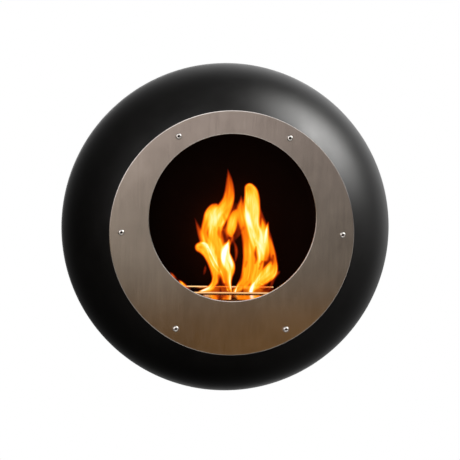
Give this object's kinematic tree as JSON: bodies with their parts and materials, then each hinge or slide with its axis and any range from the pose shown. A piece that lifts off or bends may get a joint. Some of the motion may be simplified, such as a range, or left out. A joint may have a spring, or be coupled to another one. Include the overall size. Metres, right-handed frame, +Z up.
{
  "type": "hanging fireplace",
  "caption": "Round wall-hung fireplace: flattened black steel ball, brushed steel face plate with an off-centre fire opening, lift-out liquid-fuel burner with a sliding snuffer lid.",
  "frame": {"origin": "the middle of the wall bracket's rear face, on the wall, on the axis of the round body", "axes": "+Z up, +Y into the wall, -Y out into the room through the fire opening, +X to the right for someone who faces the fire"},
  "size_m": [0.6, 0.2867, 0.6],
  "materials": {
    "shell_black": "satin black high-temperature paint",
    "liner_black": "heat-resistant satin black paint",
    "bracket_black": "matte black powder coat",
    "face_steel": "stainless, brushed up and down",
    "burner_steel": "stainless, brushed front to back",
    "polished_steel": "polished stainless",
    "zinc_steel": "zinc plated",
    "rubber": "matte moulded rubber",
    "gasket": "woven heat-resistant tape",
    "ceramic_wool": "soft fibre wool"
  },
  "bodies": {
    "wall": {"wall_bracket": "bracket_black"},
    "pod": {"hang_rail": "bracket_black", "rail_bolt_1": "zinc_steel", "rail_bolt_2": "zinc_steel", "rail_bolt_3": "zinc_steel", "rail_nut_1": "zinc_steel", "rail_nut_2": "zinc_steel", "rail_nut_3": "zinc_steel", "bumper_left": "rubber", "bumper_right": "rubber", "rear_shell": "shell_black", "front_shell": "shell_black", "front_flange": "shell_black", "seam_screw_1": "shell_black", "seam_screw_2": "shell_black", "seam_screw_3": "shell_black", "seam_screw_4": "shell_black", "seam_screw_5": "shell_black", "seam_screw_6": "shell_black", "liner_throat": "liner_black", "liner_front": "liner_black", "liner_middle": "liner_black", "liner_rear": "liner_black", "liner_back": "liner_black", "heat_shield": "zinc_steel", "shield_spacer_1": "zinc_steel", "shield_spacer_2": "zinc_steel", "shield_spacer_3": "zinc_steel", "shield_spacer_4": "zinc_steel", "back_bolt_1": "zinc_steel", "back_bolt_2": "zinc_steel", "back_bolt_3": "zinc_steel", "back_bolt_4": "zinc_steel", "face_plate": "face_steel", "face_gasket": "gasket", "face_screw_1": "polished_steel", "face_screw_2": "polished_steel", "face_screw_3": "polished_steel", "face_screw_4": "polished_steel", "face_screw_5": "polished_steel", "face_screw_6": "polished_steel", "face_nut_1": "zinc_steel", "face_nut_2": "zinc_steel", "face_nut_3": "zinc_steel", "face_nut_4": "zinc_steel", "face_nut_5": "zinc_steel", "face_nut_6": "zinc_steel", "hearth_plate": "liner_black", "hearth_lug_left": "liner_black", "hearth_screw_left": "liner_black", "hearth_lug_right": "liner_black", "hearth_screw_right": "liner_black", "spill_tray": "liner_black"},
    "burner": {"burner_deck": "burner_steel", "burner_reservoir": "burner_steel", "wool_pad": "ceramic_wool", "wool_retainer": "burner_steel", "lid_guide_left": "burner_steel", "lid_guide_right": "burner_steel"},
    "lid": {"snuffer_lid": "burner_steel"}
  },
  "joints": [
    {"name": "pod_lift", "type": "slide", "parent": "wall", "child": "pod", "axis": [0, 0, 1], "range_m": [0, 0.024]},
    {"name": "burner_lift", "type": "slide", "parent": "pod", "child": "burner", "axis": [0, 0, 1], "range_m": [0, 0.07]},
    {"name": "lid_slide", "type": "slide", "parent": "burner", "child": "lid", "axis": [0, 1, 0], "range_m": [0, 0.0795]}
  ]
}
